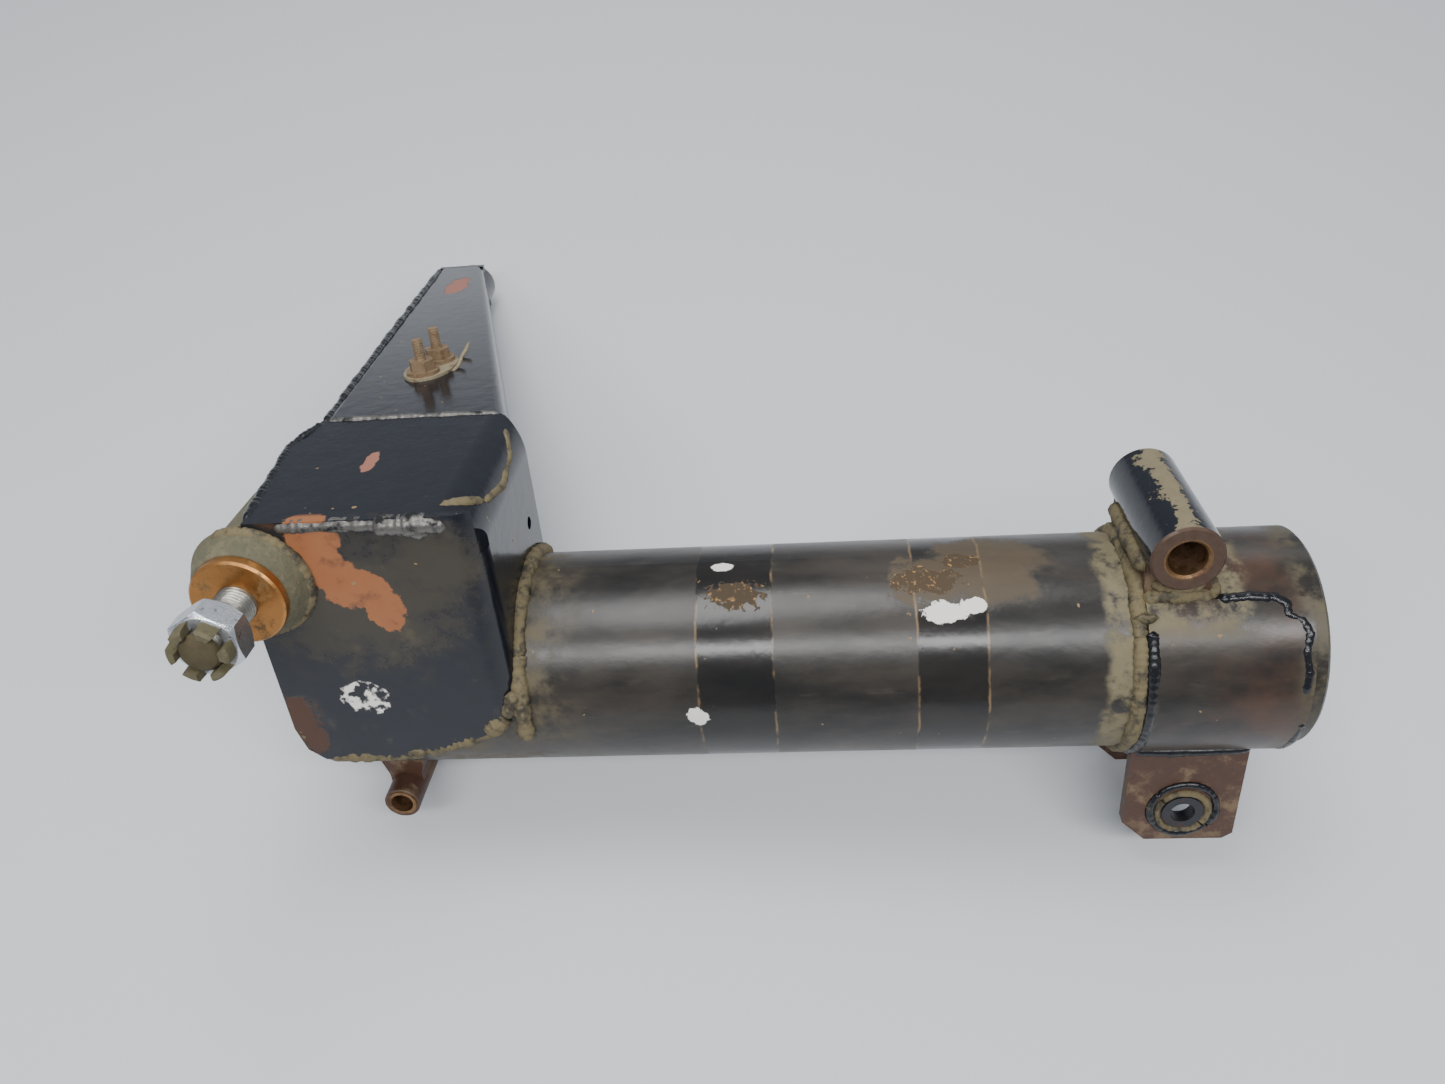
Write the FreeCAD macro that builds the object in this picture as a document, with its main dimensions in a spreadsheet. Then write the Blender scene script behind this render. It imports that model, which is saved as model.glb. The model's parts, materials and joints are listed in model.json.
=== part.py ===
"""Oleo-pneumatic strut cylinder with a welded trunnion box, side arm, brace sleeve and link lugs.

Millimetres. Every piece is drawn in the strut's own axes: X runs along the barrel from the
closed end to the open mouth, Y runs along the trunnion axis towards the arm tip, Z is the side
that carries the trunnion. A common placement then lays the whole strut on the ground, where it
rests on the door lug, the rear link cheek and the arm tip, with +Z up, +X along the barrel as
seen from above, and the origin under the middle of its box.
"""
import FreeCAD, Part
import math
import os
import re
import Sketcher
from FreeCAD import Placement, Rotation, Vector

SIZES = {
    # barrel and what closes it
    "barrel_radius": 41.25, "bore_radius": 36.5, "barrel_start": 6.2, "mouth": 379.0,
    "mouth_chamfer": 1.2, "cap_thickness": 7.8, "valve_thread_radius": 6.0,
    "valve_hex_radius": 9.2, "valve_stem_radius": 3.9, "valve_stem_tip": -13.0,
    # damping parts inside
    "orifice_tube_radius": 14.0, "orifice_tube_bore": 12.0, "orifice_tube_end": 250.0,
    "orifice_flange_radius": 22.0, "orifice_flange": 4.0, "orifice_radius": 5.2,
    "orifice_plate": 5.0, "pin_radius": 4.2, "pin_tip_radius": 2.4,
    # piston, drawn fully closed
    "piston_radius": 31.75, "piston_bore": 27.6, "piston_start": 62.0, "piston_end": 373.0,
    "head_length": 30.0, "head_radius": 36.42, "plug_start": 336.0, "plug_socket_radius": 12.0,
    "plug_socket_depth": 28.0, "seal_width": 4.0, "seal_depth": 2.6,
    # gland at the mouth
    "gland_start": 332.0, "gland_end": 360.0, "gland_bore": 31.83, "scraper": 4.5,
    "ring_start": 366.0, "ring_width": 2.4, "ring_groove_radius": 38.2,
    # trunnion box
    "sheet": 3.2, "box_left": 3.0, "box_right": 90.0, "box_front": -44.45, "box_rear": 37.0,
    "box_top": 91.0, "box_foot": -14.0, "side_bend": 9.0, "top_bend": 14.0, "top_lip": 3.0,
    "rear_bevel": 8.0, "foot_bevel": 10.0, "foot_left_bevel": 8.5, "wall_foot": 20.0,
    "wall_lean": 6.5, "wall_bulge_x": 2.0, "wall_bulge_y": 16.0,
    "drain_radius": 2.6,
    # side arm
    "root_left": 8.0, "root_right": 82.0, "root_foot": 12.0,
    "tip_left": -10.5, "tip_right": 15.0, "tip_top": 80.0, "tip_foot": 56.0, "tip": 271.0,
    # trunnion axis and its fittings
    "axis_x": 7.0, "axis_z": 68.0, "trunnion_radius": 7.15, "trunnion_fit": 0.08,
    "boss_radius": 18.5, "boss_root_radius": 21.5, "boss_front": -54.0, "boss_rear": -14.0,
    "boss_end": -6.5, "head_room": 0.4,
    "bush_radius": 11.0, "bush_flange_radius": 16.5, "bush_front": -58.0,
    "pin_front": -86.8, "pin_head": 6.0, "pin_head_radius": 11.0, "cotter_radius": 1.4,
    "nut_rear": -72.0, "nut_length": 16.0, "nut_flats": 22.2, "nut_slot": 4.6,
    "nut_slot_depth": 6.0, "thread_relief": 0.1,
    "rear_boss_radius": 11.5, "rear_boss_start": 226.0, "rear_boss_end": 274.0,
    "rear_bush_radius": 9.0, "rear_pin_start": 232.0, "rear_pin_end": 280.0,
    "rear_stub_radius": 6.35,
    # brace sleeve
    "sleeve_x": 328.0, "sleeve_z": 53.95, "sleeve_radius": 12.7, "sleeve_half": 30.0,
    "sleeve_bush_radius": 8.2, "sleeve_bore": 6.75, "saddle_half": 11.5, "saddle_half_length": 24.0,
    # link lug and its doubler
    "doubler_start": 317.0, "doubler_end": 373.0, "doubler_thickness": 2.4,
    "doubler_top_angle": 53.0, "doubler_foot_angle": -132.0,
    "lug_x": 342.7, "lug_z": -67.5, "lug_left": 320.0, "lug_right": 363.8, "lug_top": -20.0,
    "lug_foot": -82.6, "lug_face": 26.0, "lug_plate": 5.0, "lug_corner": 9.5,
    "lug_bush_radius": 8.0, "lug_bush_proud": 0.8, "lug_bore": 4.76,
    # door lug
    "door_x": 28.8, "door_z": -50.5, "door_front": -31.0, "door_rear": 20.0, "door_radius": 7.25,
    "door_bush_radius": 5.9, "door_bore": 4.5, "door_flare": 8.8, "door_web_front": -21.0,
    "door_web_rear": 14.0,
    # terminal studs on the arm
    "stud_x": 35.0, "stud_y": 85.0, "stud_step_x": 2.6, "stud_step_y": 15.4,
    "stud_radius": 2.4, "stud_thread_radius": 2.2, "stud_height": 15.0,
    "stud_washer_radius": 7.0, "stud_washer": 1.6,
    "stud_nut_flats": 9.5, "stud_nut": 4.4, "pad_half_width": 10.5, "pad_margin": 8.5,
    "pad_thickness": 1.2,
}
MATH_NAMES = {"sqrt", "cos", "sin", "tan"}

doc = FreeCAD.newDocument("oleo_strut")
sheet = doc.addObject("Spreadsheet::Sheet", "Sizes")
for row, (alias, number) in enumerate(SIZES.items(), start=1):
    sheet.set("A%d" % row, alias)
    sheet.set("B%d" % row, str(number))
    sheet.setAlias("B%d" % row, alias)
doc.recompute()

parts = []


# ---------------------------------------------------------------- helpers

def bound(text):
    """The expression TEXT with each size name looked up in the sheet."""
    def cell(match):
        word = match.group(0)
        return word if word in MATH_NAMES else "Sizes." + word
    return re.sub(r"[a-z][a-z_]*", cell, str(text))


def value(text):
    """The number that an expression of size names gives now."""
    return float(sheet.evalExpression(bound(text)))


def bind(thing, prop, text):
    thing.setExpression(prop, bound(text))


def new_body(label):
    body = doc.addObject("PartDesign::Body", label)
    body.Label = label
    return body


def new_sketch(body, role, offset="0"):
    """A sketch on one of the body's own origin planes, moved along that plane's normal."""
    sketch = body.newObject("Sketcher::SketchObject", body.Label + "_sketch")
    plane = next(f for f in body.Origin.OriginFeatures if f.Role == role)
    sketch.AttachmentSupport = [(plane, "")]
    sketch.MapMode = "FlatFace"
    bind(sketch, "AttachmentOffset.Base.z", offset)
    return sketch


def fix_point(sketch, geometry, end, across, up):
    for kind, text in (("DistanceX", across), ("DistanceY", up)):
        index = sketch.addConstraint(
            Sketcher.Constraint(kind, -1, 1, geometry, end, value(text)))
        bind(sketch, "Constraints[%d]" % index, text)


def add_outline(sketch, points):
    """A closed polygon whose corners are pairs of size expressions."""
    first = sketch.GeometryCount
    corners = [Vector(value(a), value(b), 0) for a, b in points]
    count = len(corners)
    for k in range(count):
        sketch.addGeometry(Part.LineSegment(corners[k], corners[(k + 1) % count]))
    for k in range(count):
        following = first + (k + 1) % count
        sketch.addConstraint(Sketcher.Constraint("Coincident", first + k, 2, following, 1))
    for k, (across, up) in enumerate(points):
        fix_point(sketch, first + k, 1, across, up)


def add_circle(sketch, across, up, radius):
    centre = Vector(value(across), value(up), 0)
    index = sketch.addGeometry(Part.Circle(centre, Vector(0, 0, 1), value(radius)))
    fix_point(sketch, index, 3, across, up)
    ring = sketch.addConstraint(Sketcher.Constraint("Radius", index, value(radius)))
    bind(sketch, "Constraints[%d]" % ring, radius)


def pad(body, sketch, length, reverse=False):
    feature = body.newObject("PartDesign::Pad", body.Label + "_pad")
    feature.Profile = sketch
    bind(feature, "Length", length)
    feature.Reversed = reverse
    return feature


def pocket(body, sketch, length, reverse=False):
    """A pocket that must remove something, so a wrong direction is noticed."""
    doc.recompute()
    before = body.Shape.Volume
    feature = body.newObject("PartDesign::Pocket", body.Label + "_pocket")
    feature.Profile = sketch
    bind(feature, "Length", length)
    feature.Reversed = reverse
    doc.recompute()
    if body.Shape.Volume >= before - 1e-6:
        raise RuntimeError("pocket cuts nothing: " + body.Label)
    return feature


def turned(label, outline):
    """A body turned about its own X axis from an outline of (along, radius) pairs."""
    body = new_body(label)
    sketch = new_sketch(body, "XZ_Plane")
    add_outline(sketch, outline)
    feature = body.newObject("PartDesign::Revolution", label + "_turn")
    feature.Profile = sketch
    feature.ReferenceAxis = (sketch, ["H_Axis"])
    feature.Angle = 360
    return body


def ring_outline(start, end, outer, inner):
    return [(start, inner), (end, inner), (end, outer), (start, outer)]


def rounded(body, radius, wanted):
    """Fillet the body's edges that WANTED(edge) picks."""
    doc.recompute()
    names = ["Edge%d" % (k + 1) for k, edge in enumerate(body.Shape.Edges) if wanted(edge)]
    if not names:
        raise RuntimeError("no edge to round: " + body.Label)
    base = body.Tip
    feature = body.newObject("PartDesign::Fillet", body.Label + "_fillet")
    feature.Base = (base, names)
    bind(feature, "Radius", radius)
    return feature


def rod(name, radius, length, base, direction):
    """A plain cylinder to cut or join with; its BASE is three size expressions."""
    cylinder = doc.addObject("Part::Cylinder", name)
    bind(cylinder, "Radius", radius)
    bind(cylinder, "Height", length)
    turn = Rotation(Vector(0, 0, 1), direction)
    cylinder.Placement = Placement(Vector(*[value(b) for b in base]), turn)
    return cylinder


def block(name, corner, size):
    box = doc.addObject("Part::Box", name)
    for prop, text in zip(("Length", "Width", "Height"), size):
        bind(box, prop, text)
    box.Placement = Placement(Vector(*[value(c) for c in corner]), Rotation())
    return box


def join(name, pieces):
    fusion = doc.addObject("Part::MultiFuse", name)
    fusion.Shapes = pieces
    return fusion


def cut(name, base, *tools):
    result = doc.addObject("Part::Cut", name)
    result.Base = base
    result.Tool = tools[0] if len(tools) == 1 else join(name + "_tools", list(tools))
    return result


def keep(piece, label, placement=Placement()):
    """Name a finished piece and note where it sits in the strut's own axes."""
    piece.Label = label
    parts.append((piece, placement))


def barrel_space(name, radius="barrel_radius"):
    """The room that the barrel takes, for coping plates to it."""
    return rod(name, radius, "mouth + 60", ("-30", "0", "0"), Vector(1, 0, 0))


def across_at(x, z):
    """Placement that turns a body's X axis parallel to the trunnion, through X and Z."""
    return Placement(Vector(value(x), 0, value(z)), Rotation(Vector(0, 0, 1), 90))


def on_trunnion():
    """Placement that turns a body's X axis onto the trunnion axis."""
    return across_at("axis_x", "axis_z")


# ---------------------------------------------------------------- barrel and closed end

def make_barrel():
    groove_end = "ring_start + ring_width + 0.2"
    body = turned("barrel_tube", [
        ("barrel_start", "bore_radius"),
        ("ring_start - 0.2", "bore_radius"),
        ("ring_start - 0.2", "ring_groove_radius"),
        (groove_end, "ring_groove_radius"),
        (groove_end, "bore_radius"),
        ("mouth - mouth_chamfer", "bore_radius"),
        ("mouth", "bore_radius + mouth_chamfer"),
        ("mouth", "barrel_radius - mouth_chamfer"),
        ("mouth - mouth_chamfer", "barrel_radius"),
        ("barrel_start", "barrel_radius"),
    ])
    keep(body, "barrel_tube")


def make_end_cap():
    cap_end = "barrel_start + cap_thickness"
    keep(turned("end_cap", ring_outline(
        "barrel_start", cap_end, "bore_radius", "valve_thread_radius")), "end_cap")
    hexagon = doc.addObject("Part::Prism", "valve_hex")
    hexagon.Polygon = 6
    bind(hexagon, "Circumradius", "valve_hex_radius")
    bind(hexagon, "Height", "barrel_start + 2")
    hexagon.Placement = Placement(Vector(-2, 0, 0), Rotation(Vector(0, 0, 1), Vector(1, 0, 0)))
    thread = rod("valve_thread", "valve_thread_radius", "cap_thickness + 1",
                 ("barrel_start - 1", "0", "0"), Vector(1, 0, 0))
    stem = rod("valve_stem", "valve_stem_radius", "-1 - valve_stem_tip",
               ("valve_stem_tip", "0", "0"), Vector(1, 0, 0))
    keep(join("valve_body", [hexagon, thread, stem]), "charging_valve")
    keep(turned("valve_cap", [
        ("valve_stem_tip - 3", "0"),
        ("valve_stem_tip - 0.05", "0"),
        ("valve_stem_tip - 0.05", "valve_stem_radius + 0.05"),
        ("valve_stem_tip + 8", "valve_stem_radius + 0.05"),
        ("valve_stem_tip + 8", "valve_stem_radius + 1.4"),
        ("valve_stem_tip - 2", "valve_stem_radius + 1.4"),
        ("valve_stem_tip - 3", "valve_stem_radius + 0.4"),
    ]), "valve_cap")


def make_damping_parts():
    foot = "barrel_start + cap_thickness"
    keep(turned("orifice_tube", [
        (foot, "orifice_tube_bore"),
        ("orifice_tube_end", "orifice_tube_bore"),
        ("orifice_tube_end", "orifice_tube_radius"),
        (foot + " + orifice_flange", "orifice_tube_radius"),
        (foot + " + orifice_flange", "orifice_flange_radius"),
        (foot, "orifice_flange_radius"),
    ]), "orifice_tube")
    keep(turned("orifice_plate", ring_outline(
        "orifice_tube_end - orifice_plate", "orifice_tube_end",
        "orifice_tube_bore", "orifice_radius")), "orifice_plate")


# ---------------------------------------------------------------- gland at the mouth

def make_gland():
    middle = "(gland_start + gland_end) / 2"
    inner_from = middle + " - seal_width / 2 - 5"
    outer_from = middle + " - seal_width / 2 + 5"
    inner_depth = "gland_bore + seal_depth"
    outer_depth = "bore_radius - seal_depth"
    keep(turned("gland_bearing", [
        ("gland_start", "gland_bore"),
        (inner_from, "gland_bore"),
        (inner_from, inner_depth),
        (inner_from + " + seal_width", inner_depth),
        (inner_from + " + seal_width", "gland_bore"),
        ("gland_end", "gland_bore"),
        ("gland_end", "bore_radius"),
        (outer_from + " + seal_width", "bore_radius"),
        (outer_from + " + seal_width", outer_depth),
        (outer_from, outer_depth),
        (outer_from, "bore_radius"),
        ("gland_start", "bore_radius"),
    ]), "gland_bearing")
    keep(turned("rod_seal", ring_outline(
        inner_from, inner_from + " + seal_width", inner_depth, "gland_bore")), "rod_seal")
    keep(turned("gland_o_ring", ring_outline(
        outer_from, outer_from + " + seal_width", "bore_radius", outer_depth)), "gland_o_ring")
    keep(turned("scraper_ring", [
        ("gland_end", "gland_bore + 1.2"),
        ("gland_end + scraper - 1", "gland_bore + 1.2"),
        ("gland_end + scraper", "gland_bore + 0.1"),
        ("gland_end + scraper + 1", "gland_bore + 0.6"),
        ("gland_end + scraper", "bore_radius"),
        ("gland_end", "bore_radius"),
    ]), "scraper_ring")
    ring = turned("ring_blank", ring_outline(
        "ring_start", "ring_start + ring_width", "ring_groove_radius", "bore_radius - 2.8"))
    gap = block("ring_gap", ("ring_start - 1", "-5", "bore_radius - 8"),
                ("ring_width + 2", "10", "16"))
    keep(cut("ring_split", ring, gap), "retaining_ring")


# ---------------------------------------------------------------- piston, moving as one

def make_piston():
    head_end = "piston_start + head_length"
    keep(turned("piston_tube", [
        ("piston_start", "piston_bore"),
        ("piston_end", "piston_bore"),
        ("piston_end", "piston_radius - 1"),
        ("piston_end - 1", "piston_radius"),
        ("piston_start", "piston_radius"),
    ]), "piston_tube")
    groove = "piston_start + head_length / 2"
    keep(turned("piston_head", [
        ("piston_start", "piston_radius"),
        (head_end, "piston_radius"),
        (head_end, "head_radius"),
        (groove + " + seal_width", "head_radius"),
        (groove + " + seal_width", "head_radius - seal_depth"),
        (groove, "head_radius - seal_depth"),
        (groove, "head_radius"),
        ("piston_start", "head_radius"),
    ]), "piston_head")
    keep(turned("piston_ring", ring_outline(
        groove, groove + " + seal_width", "head_radius", "head_radius - seal_depth")),
        "piston_ring")
    socket = "piston_end - plug_socket_depth"
    keep(turned("piston_lower_plug", [
        ("plug_start", "0"),
        (socket, "0"),
        (socket, "plug_socket_radius"),
        ("piston_end", "plug_socket_radius"),
        ("piston_end", "piston_bore"),
        ("plug_start", "piston_bore"),
    ]), "piston_lower_plug")
    keep(turned("metering_pin", [
        ("piston_start", "0"),
        ("plug_start", "0"),
        ("plug_start", "pin_radius + 4"),
        ("plug_start - 6", "pin_radius + 4"),
        ("plug_start - 6", "pin_radius"),
        ("piston_start + 2", "pin_tip_radius"),
        ("piston_start", "pin_tip_radius - 1"),
    ]), "metering_pin")


# ---------------------------------------------------------------- trunnion box

def make_wrap():
    """The sheet that is the box's front and, bent round, its right wall."""
    body = new_body("front_wrap")
    plan = new_sketch(body, "XY_Plane", "box_foot")
    add_outline(plan, [
        ("box_left", "box_front"),
        ("box_right", "box_front"),
        ("box_right", "box_rear - rear_bevel"),
        ("box_right - rear_bevel", "box_rear"),
        ("box_right - rear_bevel - sheet", "box_rear - sheet / 2"),
        ("box_right - sheet", "box_rear - rear_bevel - sheet / 2"),
        ("box_right - sheet", "box_front + sheet"),
        ("box_left", "box_front + sheet"),
    ])
    pad(body, plan, "box_top - box_foot")
    inner_corner = (value("box_right - sheet"), value("box_front + sheet"))
    outer_corner = (value("box_right"), value("box_front"))

    def upright_at(corner):
        def test(edge):
            if len(edge.Vertexes) != 2:
                return False
            a, b = (v.Point for v in edge.Vertexes)
            on_corner = all(abs(p.x - corner[0]) < 0.01 and abs(p.y - corner[1]) < 0.01
                            for p in (a, b))
            return on_corner and abs(a.z - b.z) > 1
        return test

    rounded(body, "side_bend", upright_at(outer_corner))
    rounded(body, "side_bend - sheet", upright_at(inner_corner))
    above = new_sketch(body, "XZ_Plane", "-(box_front + sheet)")
    top_of_wall = "box_top - top_bend - top_lip"
    add_outline(above, [
        ("box_left - 5", top_of_wall),
        ("box_right + 5", top_of_wall),
        ("box_right + 5", "box_top + 5"),
        ("box_left - 5", "box_top + 5"),
    ])
    pocket(body, above, "box_rear - box_front + 5")
    foot = new_sketch(body, "XZ_Plane", "-(box_front - 5)")
    add_outline(foot, [
        ("box_right + 5", "box_foot - 5"),
        ("box_right + 5", "box_foot + foot_bevel * 3"),
        ("box_right", "box_foot + foot_bevel * 3"),
        ("box_right - foot_bevel * 0.5", "box_foot + foot_bevel * 1.9"),
        ("box_right - foot_bevel * 1.4", "box_foot + foot_bevel"),
        ("box_right - foot_bevel * 2.6", "box_foot + foot_bevel * 0.5"),
        ("box_right - foot_bevel * 5", "box_foot"),
        ("box_right - foot_bevel * 5", "box_foot - 5"),
    ])
    pocket(body, foot, "60")
    heel = new_sketch(body, "XZ_Plane", "-(box_front - 5)")
    add_outline(heel, [
        ("box_left - 5", "box_foot - 5"),
        ("box_left + foot_left_bevel", "box_foot - 5"),
        ("box_left + foot_left_bevel", "box_foot"),
        ("box_left + foot_left_bevel * 0.3", "box_foot + foot_left_bevel * 0.6"),
        ("box_left", "box_foot + foot_left_bevel * 1.8"),
        ("box_left - 5", "box_foot + foot_left_bevel * 1.8"),
    ])
    pocket(body, heel, "60")
    lean = new_sketch(body, "XZ_Plane", "-(box_front - 5)")
    add_outline(lean, [
        ("box_left - 5", "box_top - 41"),
        ("box_left", "box_top - 41"),
        ("box_left + wall_lean", "box_top"),
        ("box_left + wall_lean", "box_top + 5"),
        ("box_left - 5", "box_top + 5"),
    ])
    pocket(body, lean, "60")
    boss_hole = rod("front_plate_boss_hole", "boss_radius", "60",
                    ("axis_x", "box_front - 30", "axis_z"), Vector(0, 1, 0))
    drain = rod("front_plate_drain", "drain_radius", "20",
                ("box_right - 10", "15", "box_top - 38"), Vector(1, 0, 0))
    keep(cut("wrap_coped", body, barrel_space("wrap_cope"), boss_hole, drain),
         "trunnion_front_plate")


def make_top_plate():
    """Top of the box, bent down over the right wall."""
    body = new_body("trunnion_top_plate")
    side = new_sketch(body, "XZ_Plane", "-(box_front + sheet)")
    left = "wall_bulge_x"
    add_outline(side, [
        (left, "box_top"),
        ("box_right", "box_top"),
        ("box_right", "box_top - top_bend - top_lip"),
        ("box_right - sheet", "box_top - top_bend - top_lip"),
        ("box_right - sheet", "box_top - sheet"),
        (left, "box_top - sheet"),
    ])
    pad(body, side, "box_rear - box_front - sheet", reverse=True)

    def along_bend(x, z):
        def test(edge):
            ends = [v.Point for v in edge.Vertexes]
            return len(ends) == 2 and all(
                abs(p.x - x) < 0.01 and abs(p.z - z) < 0.01 for p in ends)
        return test

    rounded(body, "top_bend", along_bend(value("box_right"), value("box_top")))
    rounded(body, "top_bend - sheet",
            along_bend(value("box_right - sheet"), value("box_top - sheet")))
    trim = new_sketch(body, "XY_Plane", "box_top + 5")
    add_outline(trim, [
        ("box_right + 5", "box_rear + 5"),
        ("box_right - rear_bevel", "box_rear + 5"),
        ("box_right - rear_bevel", "box_rear"),
        ("box_right", "box_rear - rear_bevel"),
        ("box_right + 5", "box_rear - rear_bevel"),
    ])
    pocket(body, trim, "60")
    outside = new_sketch(body, "XY_Plane", "box_top + 5")
    add_outline(outside, [
        ("box_left + wall_lean", "box_front"),
        ("wall_bulge_x", "wall_bulge_y"),
        ("root_left", "box_rear"),
        ("root_left", "box_rear + 5"),
        ("wall_bulge_x - 5", "box_rear + 5"),
        ("wall_bulge_x - 5", "box_front"),
    ])
    pocket(body, outside, "60")
    corner = new_sketch(body, "XY_Plane", "box_top + 5")
    add_outline(corner, [
        ("box_right - side_bend * 0.6", "box_front + sheet - 5"),
        ("box_right + 5", "box_front + sheet - 5"),
        ("box_right + 5", "box_front + side_bend"),
        ("box_right", "box_front + side_bend"),
        ("box_right - side_bend * 0.2", "box_front + side_bend * 0.4"),
    ])
    pocket(body, corner, "60")
    keep(body, "trunnion_top_plate")


def make_left_wall():
    body = new_body("left_wall_folded")
    plan = new_sketch(body, "XY_Plane", "wall_foot")
    add_outline(plan, [
        ("box_left + wall_lean", "box_front + sheet"),
        ("wall_bulge_x", "wall_bulge_y"),
        ("root_left", "box_rear - sheet"),
        ("root_left + sheet * 1.1", "box_rear - sheet"),
        ("wall_bulge_x + sheet", "wall_bulge_y"),
        ("box_left + wall_lean + sheet", "box_front + sheet"),
    ])
    pad(body, plan, "box_top - sheet - wall_foot")
    boss_hole = rod("left_wall_boss_hole", "boss_radius", "boss_end - box_front + 10",
                    ("axis_x", "box_front - 10", "axis_z"), Vector(0, 1, 0))
    barrel_end = rod("left_wall_cope", "barrel_radius", "60",
                     ("barrel_start", "0", "0"), Vector(1, 0, 0))
    keep(cut("left_wall", body, boss_hole, barrel_end), "trunnion_left_wall")


def make_rear_wall():
    wall = block("rear_wall_sheet", ("root_left", "box_rear - sheet", "root_foot"),
                 ("box_right - rear_bevel - sheet - root_left", "sheet",
                  "box_top - sheet - root_foot"))
    keep(cut("rear_wall", wall, barrel_space("rear_wall_cope")), "trunnion_rear_wall")


# ---------------------------------------------------------------- side arm

def section(name, left, right, foot, top, y):
    """A rectangle across the arm at Y, as a sketch outside any body."""
    sketch = doc.addObject("Sketcher::SketchObject", name)
    sketch.Placement = Placement(Vector(0, value(y), 0), Rotation(Vector(1, 0, 0), 90))
    add_outline(sketch, [(left, foot), (right, foot), (right, top), (left, top)])
    return sketch


def tapered(name, root, tip):
    """A solid that runs straight from the root section to the tip section."""
    loft = doc.addObject("Part::Loft", name)
    loft.Sections = [
        section(name + "_root", *root, "box_rear"),
        section(name + "_tip", *tip, "tip - sheet"),
    ]
    loft.Solid = True
    loft.Ruled = True
    return loft


def rear_boss_space(name):
    """The room that the rear boss takes at the arm's tip."""
    return rod(name, "rear_boss_radius", "60",
               ("axis_x", "rear_boss_start - 1", "axis_z"), Vector(0, 1, 0))


def make_arm():
    outer = tapered("arm_outside",
                    ("root_left", "root_right", "root_foot", "box_top"),
                    ("tip_left", "tip_right", "tip_foot", "tip_top"))
    room = tapered("arm_inside",
                   ("root_left + sheet", "root_right - sheet", "root_foot - 20",
                    "box_top - sheet"),
                   ("tip_left + sheet", "tip_right - sheet", "tip_foot - 20",
                    "tip_top - sheet"))
    round_off = doc.addObject("Part::Fillet", "arm_rounded")
    round_off.Base = outer
    doc.recompute()
    folds = []
    for k, edge in enumerate(outer.Shape.Edges):
        low = min(v.Point.z for v in edge.Vertexes)
        span = abs(edge.Vertexes[0].Point.y - edge.Vertexes[1].Point.y)
        if span > 50 and low > value("tip_foot") + 5:
            folds.append((k + 1, value("sheet"), value("sheet")))
    round_off.Edges = folds
    keep(cut("arm_folded", round_off, room, barrel_space("arm_cope"),
             rear_boss_space("arm_boss_hole")), "arm_channel")
    closing = tapered("arm_closing",
                      ("root_left + sheet", "root_right - sheet", "root_foot",
                       "root_foot + sheet"),
                      ("tip_left + sheet", "tip_right - sheet", "tip_foot",
                       "tip_foot + sheet"))
    keep(cut("arm_closed", closing, barrel_space("arm_closing_cope"),
             rear_boss_space("arm_closing_hole")), "arm_closing_plate")
    body = new_body("tip_outline")
    face = new_sketch(body, "XZ_Plane", "-(tip - sheet)")
    add_outline(face, [("tip_left", "tip_foot"), ("tip_right", "tip_foot"),
                       ("tip_right", "tip_top"), ("tip_left", "tip_top")])
    pad(body, face, "sheet", reverse=True)
    keep(cut("arm_tip_cut", body, rear_boss_space("arm_tip_hole")), "arm_tip_plate")


# ---------------------------------------------------------------- trunnion fittings

def make_front_fittings():
    keep(turned("front_pivot_boss", [
        ("boss_front", "bush_radius"),
        ("boss_rear", "bush_radius"),
        ("boss_rear", "pin_head_radius + head_room"),
        ("boss_end", "pin_head_radius + head_room"),
        ("boss_end", "boss_radius"),
        ("box_front", "boss_radius"),
        ("box_front", "boss_root_radius"),
        ("boss_front + 2.5", "boss_radius"),
        ("boss_front", "boss_radius - 1.5"),
    ]), "front_pivot_boss", on_trunnion())
    bore = "trunnion_radius + trunnion_fit"
    keep(turned("front_pivot_bush", [
        ("bush_front", bore),
        ("boss_rear", bore),
        ("boss_rear", "bush_radius"),
        ("boss_front", "bush_radius"),
        ("boss_front", "bush_flange_radius"),
        ("bush_front + 0.8", "bush_flange_radius"),
        ("bush_front", "bush_flange_radius - 0.8"),
    ]), "front_pivot_bush", on_trunnion())
    head = "boss_rear + 0.3"
    pin = turned("front_pin_turned", [
        ("pin_front", "0"),
        (head + " + pin_head", "0"),
        (head + " + pin_head", "pin_head_radius - 1"),
        (head + " + pin_head - 1", "pin_head_radius"),
        (head, "pin_head_radius"),
        (head, "trunnion_radius"),
        ("pin_front + 1.5", "trunnion_radius"),
        ("pin_front", "trunnion_radius - 1.5"),
    ])
    cotter = rod("cotter_hole", "cotter_radius", "30",
                 ("pin_front + cotter_radius + 0.9", "0", "-15"), Vector(0, 0, 1))
    keep(cut("front_pin_drilled", pin, cotter), "front_pivot_pin", on_trunnion())


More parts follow.
